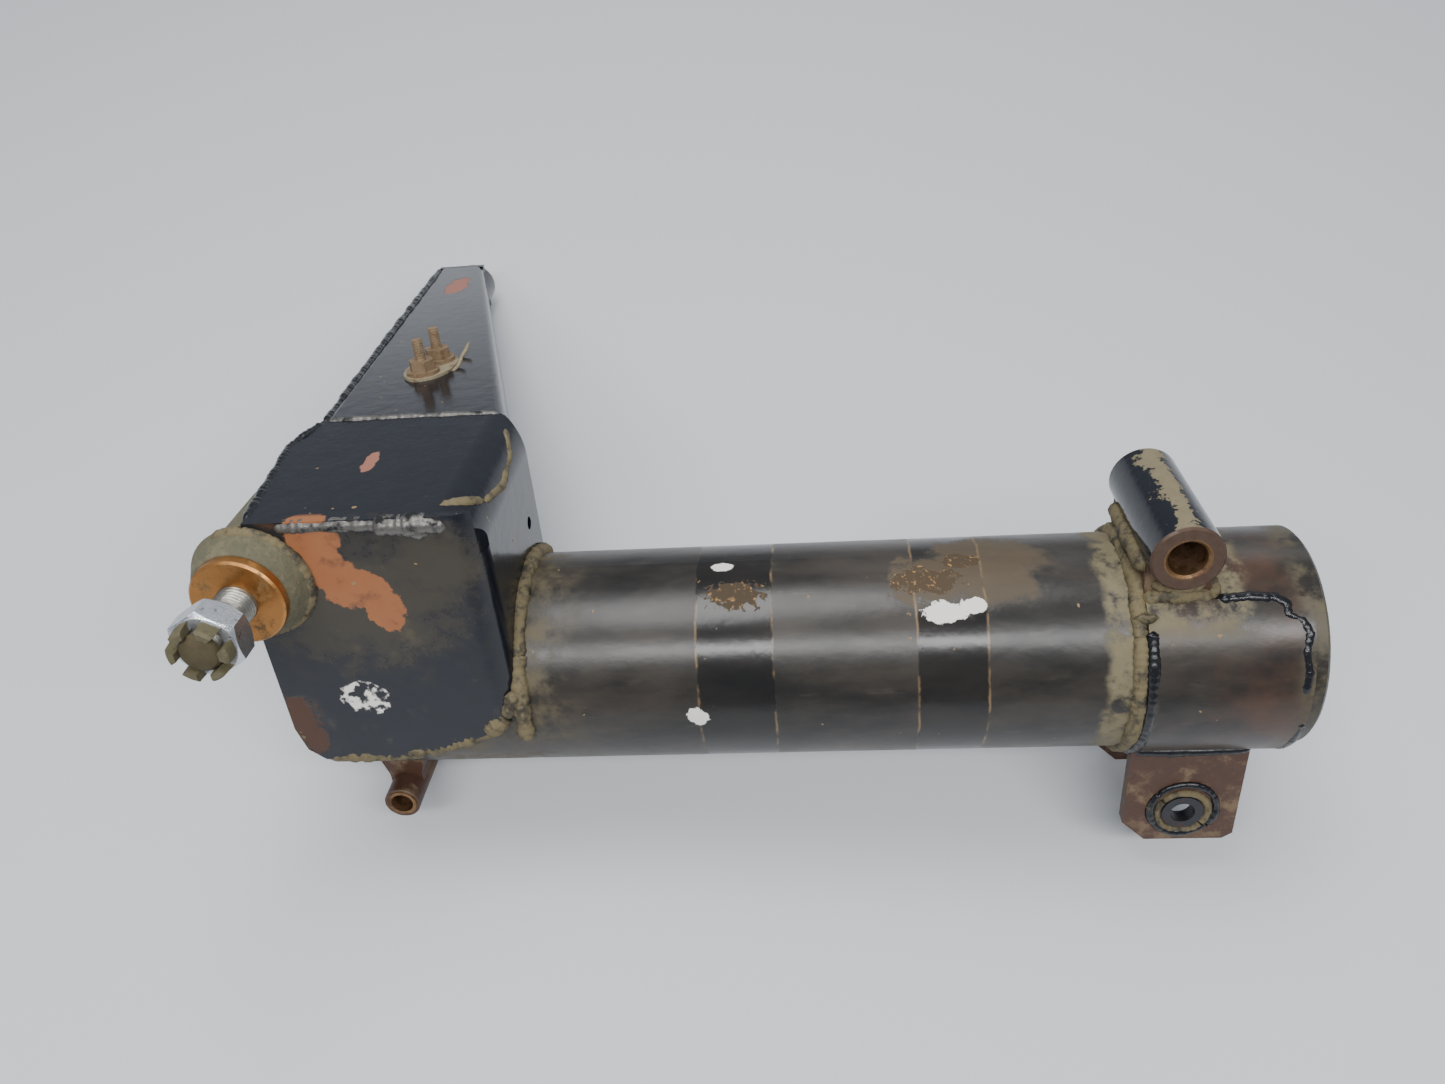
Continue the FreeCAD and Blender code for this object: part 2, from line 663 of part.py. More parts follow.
def make_castle_nut():
    hexagon = doc.addObject("Part::Prism", "castle_hex")
    hexagon.Polygon = 6
    bind(hexagon, "Circumradius", "nut_flats / sqrt(3)")
    bind(hexagon, "Height", "nut_length")
    forward = Rotation(Vector(0, 0, 1), Vector(1, 0, 0))
    hexagon.Placement = Placement(Vector(value("nut_rear - nut_length"), 0, 0), forward)
    crown = turned("castle_crown", [
        ("nut_rear - nut_length", "0"),
        ("nut_rear", "0"),
        ("nut_rear", "nut_flats / 2"),
        ("nut_rear - 1.6", "nut_flats / sqrt(3) + 0.1"),
        ("nut_rear - nut_length + nut_slot_depth + 1.6", "nut_flats / sqrt(3) + 0.1"),
        ("nut_rear - nut_length + nut_slot_depth", "nut_flats / 2 - 0.4"),
        ("nut_rear - nut_length + 0.8", "nut_flats / 2 - 0.9"),
        ("nut_rear - nut_length", "nut_flats / 2 - 1.9"),
    ])
    shaped = doc.addObject("Part::MultiCommon", "castle_shaped")
    shaped.Shapes = [hexagon, crown]
    tools = [rod("castle_bore", "trunnion_radius + thread_relief", "nut_length + 2",
                 ("nut_rear - nut_length - 1", "0", "0"), Vector(1, 0, 0))]
    for k in range(3):
        slot = block("castle_slot_%d" % k,
                     ("nut_rear - nut_length - 1", "0", "0"),
                     ("nut_slot_depth + 1", "nut_slot", "nut_flats + 10"))
        turn = Rotation(Vector(1, 0, 0), 60 * k)
        corner = Vector(0, -value("nut_slot / 2"), -value("nut_flats / 2 + 5"))
        start = Vector(value("nut_rear - nut_length - 1"), 0, 0)
        slot.Placement = Placement(start + turn.multVec(corner), turn)
        tools.append(slot)
    keep(cut("castle_cut", shaped, *tools), "castle_nut", on_trunnion())


def make_rear_fittings():
    keep(turned("rear_pivot_boss", ring_outline(
        "rear_boss_start", "rear_boss_end", "rear_boss_radius", "rear_bush_radius")),
        "rear_pivot_boss", on_trunnion())
    keep(turned("rear_pivot_bush", ring_outline(
        "rear_boss_start", "rear_boss_end", "rear_bush_radius", "trunnion_radius")),
        "rear_pivot_bush", on_trunnion())
    keep(turned("rear_pivot_pin", [
        ("rear_pin_start", "0"),
        ("rear_pin_end", "0"),
        ("rear_pin_end", "rear_stub_radius - 0.8"),
        ("rear_pin_end - 0.8", "rear_stub_radius"),
        ("rear_boss_end", "rear_stub_radius"),
        ("rear_boss_end", "trunnion_radius"),
        ("rear_pin_start", "trunnion_radius"),
    ]), "rear_pivot_pin", on_trunnion())


# ---------------------------------------------------------------- brace sleeve

def make_brace_sleeve():
    placed = across_at("sleeve_x", "sleeve_z")
    keep(turned("brace_sleeve", [
        ("-sleeve_half", "sleeve_bush_radius"),
        ("sleeve_half", "sleeve_bush_radius"),
        ("sleeve_half", "sleeve_radius - 0.8"),
        ("sleeve_half - 0.8", "sleeve_radius"),
        ("0.8 - sleeve_half", "sleeve_radius"),
        ("-sleeve_half", "sleeve_radius - 0.8"),
    ]), "brace_sleeve", placed)
    keep(turned("brace_sleeve_bush", [
        ("-sleeve_half", "sleeve_bore + 0.8"),
        ("0.8 - sleeve_half", "sleeve_bore"),
        ("sleeve_half - 0.8", "sleeve_bore"),
        ("sleeve_half", "sleeve_bore + 0.8"),
        ("sleeve_half", "sleeve_bush_radius"),
        ("-sleeve_half", "sleeve_bush_radius"),
    ]), "brace_sleeve_bush", placed)
    filler = block("saddle_block", ("sleeve_x - saddle_half", "-saddle_half_length", "30"),
                   ("saddle_half * 2", "saddle_half_length * 2", "sleeve_z - 34"))
    sleeve = rod("saddle_sleeve", "sleeve_radius", "sleeve_half * 4",
                 ("sleeve_x", "-sleeve_half * 2", "sleeve_z"), Vector(0, 1, 0))
    on_barrel = cut("saddle_on_barrel", filler, barrel_space("saddle_cope"))
    keep(cut("saddle", on_barrel, sleeve), "sleeve_saddle")


# ---------------------------------------------------------------- link lug

def make_doubler():
    """A plate rolled round the front of the barrel, from above the middle to underneath."""
    body = new_body("doubler_rolled")
    sketch = new_sketch(body, "XZ_Plane")
    add_outline(sketch, ring_outline("doubler_start", "doubler_end",
                                     "barrel_radius + doubler_thickness", "barrel_radius"))
    sweep = body.newObject("PartDesign::Revolution", "doubler_turn")
    sweep.Profile = sketch
    sweep.ReferenceAxis = (sketch, ["H_Axis"])
    bind(sweep, "Angle", "doubler_top_angle - doubler_foot_angle")
    # the outline starts straight up, at 90 degrees, so it is turned to the upper border
    lean = Placement(Vector(), Rotation(Vector(1, 0, 0), 90 - value("doubler_top_angle")))
    keep(body, "doubler_patch", lean)


def lug_plate(label, rear):
    """One cheek of the link lug, coped to the barrel; its back face is at REAR."""
    body = new_body(label + "_outline")
    face = new_sketch(body, "XZ_Plane", "-(%s)" % rear)
    add_outline(face, [
        ("lug_left", "lug_top"),
        ("lug_left", "lug_foot + lug_corner"),
        ("lug_left + lug_corner", "lug_foot"),
        ("lug_right - lug_corner * 0.4", "lug_foot"),
        ("lug_right", "lug_foot + lug_corner * 0.3"),
        ("lug_right", "lug_top"),
    ])
    add_circle(face, "lug_x", "lug_z", "lug_bush_radius")
    pad(body, face, "lug_plate")
    room = rod(label + "_doubler", "barrel_radius + doubler_thickness",
               "doubler_end - doubler_start", ("doubler_start", "0", "0"), Vector(1, 0, 0))
    keep(cut(label + "_coped", body, room), label)


def make_link_lug():
    lug_plate("link_lug_front_cheek", "lug_plate - lug_face")
    lug_plate("link_lug_rear_cheek", "lug_face")
    near = turned("link_bush_near", ring_outline(
        "-lug_face - lug_bush_proud", "lug_plate - lug_face", "lug_bush_radius", "lug_bore"))
    far = turned("link_bush_far", ring_outline(
        "lug_face - lug_plate", "lug_face + lug_bush_proud", "lug_bush_radius", "lug_bore"))
    pair = doc.addObject("Part::Compound", "link_bush_pair")
    pair.Links = [near, far]
    keep(pair, "link_lug_bushes", across_at("lug_x", "lug_z"))


# ---------------------------------------------------------------- door lug

def make_door_lug():
    placed = across_at("door_x", "door_z")
    keep(turned("door_lug_tube", ring_outline(
        "door_front", "door_rear", "door_radius", "door_bush_radius")), "door_lug_tube", placed)
    keep(turned("door_lug_bush", ring_outline(
        "door_front - 0.4", "door_rear", "door_bush_radius", "door_bore")),
        "door_lug_bush", placed)
    body = new_body("door_web_outline")
    face = new_sketch(body, "XZ_Plane", "-door_web_front")
    add_outline(face, [
        ("door_x - door_flare", "-30"),
        ("door_x - door_flare", "-37"),
        ("door_x - door_radius + 0.5", "-44"),
        ("door_x - door_radius + 0.5", "door_z"),
        ("door_x + door_radius - 0.5", "door_z"),
        ("door_x + door_radius - 0.5", "-44"),
        ("door_x + door_flare", "-37"),
        ("door_x + door_flare", "-30"),
    ])
    pad(body, face, "door_web_rear - door_web_front", reverse=True)
    tube = rod("door_web_tube", "door_radius", "100", ("door_x", "-50", "door_z"),
               Vector(0, 1, 0))
    keep(cut("door_web", body, barrel_space("door_web_cope"), tube), "door_lug_web")


# ---------------------------------------------------------------- terminal studs

def on_arm_top(x, y):
    """Placement with its Z axis square to the arm's sloping top, through that top at X, Y."""
    run = value("tip - sheet - box_rear")
    fall = value("box_top - tip_top")
    slope = math.degrees(math.atan2(fall, run))
    height = value("box_top") - fall * (y - value("box_rear")) / run
    return Placement(Vector(x, y, height), Rotation(Vector(1, 0, 0), -slope))


def stud_places():
    first = Vector(value("stud_x"), value("stud_y"), 0)
    step = Vector(value("stud_step_x"), value("stud_step_y"), 0)
    return [first, first + step]


def stud_group(label, make_one):
    """The same piece at both studs, as separate solids of one object."""
    group = doc.addObject("Part::Compound", label + "_pair")
    pieces = []
    for k, place in enumerate(stud_places()):
        piece = make_one("%s_%d" % (label, k))
        piece.Placement = on_arm_top(place.x, place.y).multiply(piece.Placement)
        pieces.append(piece)
    group.Links = pieces
    keep(group, label)


def make_studs():
    up = Vector(0, 0, 1)
    seat = "pad_thickness"

    def stud(name):
        held = "stud_washer + stud_nut"
        shank = rod(name + "_shank", "stud_radius", held, ("0", "0", seat), up)
        thread = rod(name + "_thread", "stud_thread_radius", "stud_height", ("0", "0", seat), up)
        return join(name, [shank, thread])

    def washer(name):
        disc = rod(name + "_disc", "stud_washer_radius", "stud_washer", ("0", "0", seat), up)
        return cut(name, disc, rod(name + "_hole", "stud_radius", "20", ("0", "0", "-5"), up))

    def nut(name):
        hexagon = doc.addObject("Part::Prism", name + "_hex")
        hexagon.Polygon = 6
        bind(hexagon, "Circumradius", "stud_nut_flats / sqrt(3)")
        bind(hexagon, "Height", "stud_nut")
        hexagon.Placement = Placement(Vector(0, 0, value(seat + " + stud_washer")), Rotation())
        return cut(name, hexagon, rod(name + "_hole", "stud_radius", "30", ("0", "0", "-5"), up))

    stud_group("terminal_studs", stud)
    stud_group("stud_washers", washer)
    stud_group("stud_nuts", nut)
    body = new_body("stud_pad")
    sketch = new_sketch(body, "XY_Plane")
    first, second = stud_places()
    length = (second - first).Length
    half = value("pad_half_width")
    margin = value("pad_margin")
    ellipse = Part.Ellipse(Vector(0, length / 2 + margin, 0), Vector(half, 0, 0), Vector(0, 0, 0))
    sketch.addGeometry(ellipse)
    pad(body, sketch, "pad_thickness")
    middle = (first + second) * 0.5
    lean = math.degrees(math.atan2(-(second.x - first.x), second.y - first.y))
    placed = on_arm_top(middle.x, middle.y)
    keep(body, "stud_pad", placed.multiply(Placement(Vector(), Rotation(Vector(0, 0, 1), lean))))


# ---------------------------------------------------------------- laying it down and writing

def resting_axes():
    """Rotation that stands the plane of the three points the strut rests on level."""
    lug = Vector(value("lug_left + lug_corner"), value("lug_face"), value("lug_foot"))
    door = Vector(value("door_x"), value("door_rear"), value("door_z - door_radius"))
    tip = Vector(value("tip_left"), value("tip"), value("tip_foot"))
    up = (lug - door).cross(tip - door)
    up.normalize()
    along = Vector(1, 0, 0) - up * up.x
    along.normalize()
    across = up.cross(along)
    return Rotation(along, across, up, "ZXY").inverted()


def lay_down():
    turn = Placement(Vector(), resting_axes())
    for piece, own in parts:
        piece.Placement = turn.multiply(own)
    doc.recompute()
    box = FreeCAD.BoundBox()
    for piece, _ in parts:
        box.add(piece.Shape.optimalBoundingBox(True, False))
    down = Vector(-(box.XMin + box.XMax) / 2, -(box.YMin + box.YMax) / 2, -box.ZMin)
    whole = Placement(down, turn.Rotation)
    for piece, own in parts:
        piece.Placement = whole.multiply(own)
    doc.recompute()
    return whole


def check_and_write():
    for thing in doc.Objects:
        if "Invalid" in thing.State or "Error" in thing.State:
            raise RuntimeError("failed object: %s %s" % (thing.Label, thing.State))
    os.makedirs("parts", exist_ok=True)
    for piece, _ in parts:
        shape = piece.Shape
        if shape.isNull() or not shape.isValid() or not shape.Solids:
            raise RuntimeError("bad shape: " + piece.Label)
    for piece, _ in parts:
        piece.Shape.exportStep(os.path.join("parts", piece.Label + ".step"))


make_barrel()
make_end_cap()
make_damping_parts()
make_gland()
make_piston()
make_wrap()
make_top_plate()
make_left_wall()
make_rear_wall()
make_arm()
make_front_fittings()
make_castle_nut()
make_rear_fittings()
make_brace_sleeve()
make_doubler()
make_link_lug()
make_door_lug()
make_studs()
doc.recompute()
placement = lay_down()
check_and_write()
print("nodes", len(parts))
for k in range(3):
    print("placement row", [round(v, 6) for v in placement.Matrix.A[4 * k:4 * k + 4]])
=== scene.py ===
"""Looks of the oleo strut cylinder: worn paint, weld beads, threads, floor, light and camera.

Places are written in millimetres in the strut's own axes: X along the barrel from its closed
end, Y along the trunnion axis towards the arm tip, Z on the trunnion's side. The record's
mounts give where those axes lie in the row frame.
"""
import json
import math
import random

import bmesh
import bpy
from mathutils import Matrix, Vector, noise


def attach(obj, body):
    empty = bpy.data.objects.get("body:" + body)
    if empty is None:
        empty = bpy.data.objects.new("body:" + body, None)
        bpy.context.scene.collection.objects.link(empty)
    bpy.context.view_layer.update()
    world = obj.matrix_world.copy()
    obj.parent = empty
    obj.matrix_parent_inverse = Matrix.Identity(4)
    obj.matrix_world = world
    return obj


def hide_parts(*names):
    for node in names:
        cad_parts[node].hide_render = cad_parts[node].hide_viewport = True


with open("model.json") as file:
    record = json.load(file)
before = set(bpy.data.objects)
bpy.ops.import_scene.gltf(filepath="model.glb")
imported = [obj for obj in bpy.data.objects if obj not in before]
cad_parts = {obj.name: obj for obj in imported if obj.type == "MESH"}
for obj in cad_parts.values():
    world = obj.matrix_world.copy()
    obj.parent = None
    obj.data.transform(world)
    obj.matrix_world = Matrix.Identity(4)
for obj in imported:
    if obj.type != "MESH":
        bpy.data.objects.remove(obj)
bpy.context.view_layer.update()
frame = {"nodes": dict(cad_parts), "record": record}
random.seed(41)

MM = 0.001
BARREL = 41.25  # outer radius
BOX_FRONT, BOX_REAR, BOX_TOP = -44.45, 37.0, 91.0
ARM_TIP = (267.8, 80.0)  # Y and Z of the far edge of the arm's top
ARM_SLOPE = 0.0477  # fall of the arm's top per millimetre of Y
TRUNNION = (7.0, 68.0)  # X and Z of the axes of the trunnion, sleeve and link
SLEEVE = (328.0, 53.95)
LINK = (342.7, -67.5)
DOOR_X = 28.8  # middle of the lug under the box
SLEEVE_CHAMFER = 29.2  # Y where the chamfers of the sleeve's ends begin, either side
BANDS = ((157, 185), (237, 262))  # the glossier stretches of the barrel, in X
PIN_FRONT, PIN_HEAD_FACE, PIN_HEAD_BACK = -86.8, -13.7, -7.7
PIN_RADIUS, PIN_HEAD_RADIUS, PIN_CHAMFER = 7.15, 11, 1.5
PIN_THREADED, PIN_PITCH = 28.5, 1.41
STUD_CREST, STUD_CHAMFER, STUD_PITCH = 2.4, 0.5, 1.1
SOCKET_MIDDLE = 359.0
# Y where a finish begins, and where it is full
NUT_DIRT, PIN_DIRT, TIP_RIM = (-80.2, -81.6), (-84.0, -85.0), (272.6, 273.4)

# ---------------------------------------------------------------- the strut's axes

mounts = {m["name"]: m for m in frame["record"]["mounts"]}
ALONG = Vector(mounts["piston_socket"]["axis"]).normalized()
ACROSS = Vector(mounts["rear_trunnion"]["axis"]).normalized()
SIDE = ALONG.cross(ACROSS).normalized()
TURN = Matrix((ALONG, ACROSS, SIDE)).transposed()
ORIGIN = Vector(mounts["piston_socket"]["pos_m"]) - ALONG * (SOCKET_MIDDLE * MM)


def row(x, y, z):
    """A place in the strut's axes, in millimetres, as a place in the row frame, in metres."""
    return ORIGIN + TURN @ (Vector((x, y, z)) * MM)


# ---------------------------------------------------------------- materials

class Look:
    """A procedural material whose masks are placed in the strut's axes, in millimetres."""

    def __init__(self, name):
        self.material = bpy.data.materials.new(name)
        self.material.use_nodes = True
        self.tree = self.material.node_tree
        self.shader = self.tree.nodes["Principled BSDF"]
        coordinates = self.node("ShaderNodeTexCoord").outputs["Object"]
        place = self.node("ShaderNodeMapping")
        back = TURN.inverted()
        place.inputs["Rotation"].default_value = back.to_euler("XYZ")
        place.inputs["Location"].default_value = back @ (-ORIGIN) / MM
        place.inputs["Scale"].default_value = (1 / MM,) * 3
        self.link(coordinates, place.inputs["Vector"])
        self.where = place.outputs["Vector"]
        parts = self.node("ShaderNodeSeparateXYZ")
        self.link(self.where, parts.inputs[0])
        self.x, self.y, self.z = parts.outputs

    def node(self, kind):
        return self.tree.nodes.new(kind)

    def link(self, source, target):
        self.tree.links.new(source, target)

    def put(self, value, target):
        """Sets a socket to a constant, or links it."""
        if isinstance(value, bpy.types.NodeSocket):
            self.link(value, target)
        else:
            target.default_value = value

    def calc(self, operation, a, b):
        node = self.node("ShaderNodeMath")
        node.operation = operation
        self.put(a, node.inputs[0])
        self.put(b, node.inputs[1])
        return node.outputs[0]

    def noise(self, size, detail=4.0, rough=0.55, stretch=(1, 1, 1)):
        """Noise about 0.5 whose features are about SIZE millimetres across."""
        scaled = self.node("ShaderNodeMapping")
        scaled.inputs["Scale"].default_value = tuple(s / size for s in stretch)
        self.link(self.where, scaled.inputs["Vector"])
        node = self.node("ShaderNodeTexNoise")
        node.inputs["Scale"].default_value = 1.0
        node.inputs["Detail"].default_value = detail
        node.inputs["Roughness"].default_value = rough
        self.link(scaled.outputs["Vector"], node.inputs["Vector"])
        return node.outputs["Fac"]

    def shift(self, size, amount, detail=4.0, rough=0.55):
        """A number that wanders about 0, over a span of AMOUNT at most."""
        return self.calc("MULTIPLY", self.calc("SUBTRACT", self.noise(size, detail, rough), 0.5), amount)

    def ramp(self, value, low, high):
        """0 below LOW and 1 above HIGH; LOW may be the larger."""
        node = self.node("ShaderNodeMapRange")
        node.interpolation_type = "SMOOTHSTEP"
        self.put(value, node.inputs["Value"])
        flip = low > high
        node.inputs["From Min"].default_value = min(low, high)
        node.inputs["From Max"].default_value = max(low, high)
        node.inputs["To Min"].default_value = 1.0 if flip else 0.0
        node.inputs["To Max"].default_value = 0.0 if flip else 1.0
        return node.outputs["Result"]

    def patches(self, size, low, high, detail=7.0, rough=0.7):
        """A mask of ragged patches about SIZE millimetres across."""
        return self.ramp(self.noise(size, detail, rough), low, high)

    def specks(self):
        """A mask of small chips, far apart."""
        return self.patches(3.4, 0.765, 0.775, 2.0, 0.4)

    def both(self, a, b):
        return self.calc("MULTIPLY", a, b)

    def either(self, *masks):
        result = masks[0]
        for mask in masks[1:]:
            result = self.calc("MAXIMUM", result, mask)
        return result

    def band(self, axis, low, high, soft=0.6, wander=0.0):
        """1 between LOW and HIGH along an axis, with an edge that wanders."""
        value = self.calc("ADD", axis, self.shift(14.0, wander)) if wander else axis
        return self.both(self.ramp(value, low - soft, low + soft),
                         self.ramp(value, high + soft, high - soft))

    def blob(self, centre, radii, ragged=0.9, grain=7.0, edge=0.05):
        """1 inside a ragged ellipsoid."""
        offset = self.node("ShaderNodeVectorMath")
        offset.operation = "SUBTRACT"
        self.link(self.where, offset.inputs[0])
        offset.inputs[1].default_value = centre
        shaped = self.node("ShaderNodeVectorMath")
        shaped.operation = "DIVIDE"
        self.link(offset.outputs[0], shaped.inputs[0])
        shaped.inputs[1].default_value = radii
        length = self.node("ShaderNodeVectorMath")
        length.operation = "LENGTH"
        self.link(shaped.outputs[0], length.inputs[0])
        shift = self.shift(grain, ragged * 2, 5.0, 0.65)
        return self.ramp(self.calc("ADD", length.outputs["Value"], shift), 1 + edge, 1 - edge)

    def mix(self, mask, first, second):
        """A colour that goes from FIRST to SECOND with the mask."""
        node = self.node("ShaderNodeMix")
        node.data_type = "RGBA"
        self.put(mask, node.inputs[0])
        for colour, socket in ((first, node.inputs[6]), (second, node.inputs[7])):
            if not isinstance(colour, bpy.types.NodeSocket):
                colour = (*colour, 1.0)
            self.put(colour, socket)
        return node.outputs[2]

    def level(self, mask, first, second):
        """A number that goes from FIRST to SECOND with the mask."""
        node = self.node("ShaderNodeMix")
        node.data_type = "FLOAT"
        self.put(mask, node.inputs[0])
        self.put(first, node.inputs[2])
        self.put(second, node.inputs[3])
        return node.outputs[0]

    def done(self, colour, rough, metal, height, depth, coat=0.0):
        """Sets the shader's sockets; DEPTH is the height of the bumps in millimetres."""
        if not isinstance(colour, bpy.types.NodeSocket):
            colour = (*colour, 1.0)
        self.put(colour, self.shader.inputs["Base Color"])
        self.put(rough, self.shader.inputs["Roughness"])
        self.put(metal, self.shader.inputs["Metallic"])
        if coat:
            self.shader.inputs["Coat Weight"].default_value = coat
            self.shader.inputs["Coat Roughness"].default_value = 0.12
        bump = self.node("ShaderNodeBump")
        bump.inputs["Strength"].default_value = 0.6
        bump.inputs["Distance"].default_value = depth * MM
        self.link(height, bump.inputs["Height"])
        self.link(bump.outputs["Normal"], self.shader.inputs["Normal"])
        return self.material


# the second colour is a painted reflection: a navy tint that stands in for blue surroundings mirrored in
# the gloss black
BLACK, PAINTED_BLUE_REFLECTION = (0.0035, 0.0042, 0.0065), (0.007, 0.009, 0.017)
BAND_BLACK, LINK_BLACK = (0.0045, 0.0045, 0.005), (0.008, 0.009, 0.013)
KHAKI, TAN, BROWN = (0.15, 0.12, 0.062), (0.24, 0.155, 0.075), (0.065, 0.028, 0.015)
PALE_KHAKI, PALE_STRIP, CREAM = (0.23, 0.20, 0.12), (0.22, 0.19, 0.12), (0.46, 0.42, 0.35)
PRIMER, ORANGE, SALMON = (0.26, 0.085, 0.028), (0.32, 0.125, 0.048), (0.31, 0.125, 0.085)
WHITE, STEEL, OLIVE = (0.78, 0.76, 0.70), (0.32, 0.31, 0.29), (0.085, 0.075, 0.034)
GOLD, UMBER, COPPER = (0.38, 0.215, 0.080), (0.060, 0.038, 0.018), (0.095, 0.042, 0.022)
SATIN_DARK, SATIN_PALE = (0.009, 0.0085, 0.008), (0.040, 0.033, 0.026)
STREAK_GREY, SMUDGE_TAN = (0.085, 0.078, 0.066), (0.16, 0.115, 0.062)


def black_enamel():
    """Gloss black, with primer, chips and dust where the box and arm are worn."""
    look = Look("black_enamel")
    # the black is mottled with a painted blue reflection
    colour = look.mix(look.noise(9.0, 6.0, 0.65), BLACK, PAINTED_BLUE_REFLECTION)
    near_front = look.ramp(look.y, BOX_FRONT + 6, BOX_FRONT + 3)
    dust = look.both(look.patches(16.0, 0.56, 0.78), 0.26)
    low_dust = look.both(dust, look.ramp(look.z, 92, 60))
    colour = look.mix(low_dust, colour, KHAKI)
    primer = look.both(near_front, look.either(
        look.blob((32.5, BOX_FRONT, 84), (9.5, 8, 10), 0.5, 9.0),
        look.blob((34.5, BOX_FRONT, 72), (9.5, 8, 9), 0.5, 9.0),
        look.blob((43.5, BOX_FRONT, 63), (12.5, 8, 7.5), 0.6, 7.0),
        look.blob((51, BOX_FRONT, 55), (7.5, 8, 9), 0.7, 6.0)))
    haze = look.both(near_front, look.either(
        look.blob((42, BOX_FRONT, 58), (34, 9, 26), 1.0, 9.0, 0.5),
        look.blob((72, BOX_FRONT, 72), (16, 9, 14), 1.0, 7.0, 0.5)))
    colour = look.mix(look.both(haze, 0.24), colour, KHAKI)
    orange = look.mix(look.noise(12.0, 5.0), PRIMER, ORANGE)
    stained = look.both(look.patches(9.0, 0.50, 0.72, 6.0), 0.7)
    colour = look.mix(primer, colour, look.mix(stained, orange, BROWN))
    corner = look.both(near_front, look.blob((5, BOX_FRONT, 0), (9, 8, 15), 1.2, 7.0, 0.2))
    colour = look.mix(corner, colour, BROWN)
    stamp_ring = look.blob((33.9, BOX_FRONT, 15.4), (9.2, 6, 7.8), 0.35, 4.0)
    stamp_gaps = look.ramp(look.noise(3.6, 3.0), 0.42, 0.55)
    stamp = look.both(near_front, look.both(stamp_ring, stamp_gaps))
    colour = look.mix(stamp, colour, WHITE)
    chips = look.either(
        look.blob((40.4, -2, BOX_TOP), (2.5, 8.5, 4), 0.7, 4.0),
        look.blob((11, 228, 81), (6, 15, 5), 0.9, 6.0))
    colour = look.mix(chips, colour, SALMON)
    specks = look.specks()
    colour = look.mix(specks, colour, TAN)
    tip_rim = look.ramp(look.y, *TIP_RIM)
    colour = look.mix(tip_rim, colour, CREAM)
    worn = look.either(primer, corner, stamp, chips, specks, tip_rim,
                       look.both(low_dust, 0.7), look.both(haze, 0.5))
    rough = look.level(worn, look.level(look.noise(22.0), 0.10, 0.24), 0.62)
    height = look.calc("SUBTRACT", look.noise(6.0, 5.0), look.calc("MULTIPLY", worn, 0.5))
    return look.done(colour, rough, 0.0, height, 0.22, coat=0.08)


def barrel_enamel():
    """Satin grey-brown black, with two glossier bands, white chips and rust."""
    look = Look("barrel_enamel")
    smear = look.noise(30.0, 6.0, 0.6, (0.6, 1.6, 1.6))
    colour = look.mix(look.ramp(smear, 0.30, 0.70), SATIN_DARK, SATIN_PALE)
    streaks = look.ramp(look.noise(16.0, 7.0, 0.7, (0.5, 2.2, 2.2)), 0.58, 0.76)
    colour = look.mix(look.both(streaks, 0.45), colour, STREAK_GREY)
    bands = look.either(*[look.band(look.x, *band, 0.5, 2.5) for band in BANDS])
    colour = look.mix(look.both(bands, 0.62), colour, BAND_BLACK)
    edges = look.either(*[look.band(look.x, at - 0.35, at + 0.35, 0.4, 2.5)
                          for band in BANDS for at in band])
    edges = look.both(edges, look.ramp(look.noise(10.0), 0.42, 0.6))
    colour = look.mix(look.both(edges, 0.75), colour, TAN)
    upper = look.ramp(look.z, 18, 38)
    smudge = look.both(upper, look.either(
        look.blob((264, -8, BARREL), (20, 20, 14), 1.1, 12.0, 0.3),
        look.blob((241, -14, 39), (13, 12, 9), 1.1, 6.0, 0.2)))
    colour = look.mix(look.both(smudge, 0.40), colour, SMUDGE_TAN)
    rust = look.either(
        look.blob((171.5, -17.4, 37.4), (10, 6, 5), 1.3, 3.0),
        look.blob((241, -13.9, 38.8), (12, 6, 5), 1.3, 3.0),
        look.blob((255, -4.6, 41), (7, 4, 4), 0.9, 5.0))
    flecks = look.patches(2.2, 0.57, 0.62, 5.0)
    colour = look.mix(look.both(rust, 0.85), colour, look.mix(flecks, UMBER, GOLD))
    chips = look.either(
        look.blob((166.2, -3.6, 41.1), (4.2, 2.6, 3), 0.6, 4.0),
        look.blob((156.1, -BARREL, -0.2), (4.0, 3, 4.0), 0.8, 3.5),
        look.blob((247.5, -25.5, 32.5), (8.5, 4.4, 5), 0.8, 4.5),
        look.blob((258, -23.9, 33.6), (4.5, 3, 3), 0.6, 4.0))
    colour = look.mix(chips, colour, WHITE)
    closed_end = look.ramp(look.x, 120, 92)
    mouth_end = look.both(look.ramp(look.x, 364, 374), 0.9)
    dust = look.both(look.either(closed_end, mouth_end), look.patches(12.0, 0.40, 0.66))
    colour = look.mix(look.both(dust, 0.6), colour, KHAKI)
    copper = look.both(look.band(look.x, 322, 370, 6.0), look.ramp(look.noise(30.0), 0.40, 0.70))
    colour = look.mix(look.both(copper, 0.55), colour, COPPER)
    collar = look.both(look.band(look.x, 303, 319, 2.0, 12.0), look.patches(8.0, 0.36, 0.56))
    saddle = look.both(look.ramp(look.z, 22, 32), look.both(
        look.band(look.x, 312, 352, 3.0, 12.0), look.patches(8.0, 0.38, 0.58)))
    caked = look.either(collar, saddle)
    caked_dirt = look.mix(look.noise(5.0), KHAKI, PALE_KHAKI)
    colour = look.mix(look.both(caked, 0.85), colour, caked_dirt)
    specks = look.specks()
    colour = look.mix(specks, colour, TAN)
    worn = look.either(chips, rust, caked, look.both(smudge, 0.6), look.both(dust, 0.7), specks)
    satin = look.level(bands, look.level(look.noise(18.0), 0.24, 0.40), 0.21)
    rough = look.level(worn, satin, 0.80)
    height = look.calc("SUBTRACT", look.noise(5.0, 6.0), look.calc("MULTIPLY", chips, 0.6))
    height = look.calc("ADD", height, look.calc("MULTIPLY", bands, 0.35))
    return look.done(colour, rough, 0.0, height, 0.16)


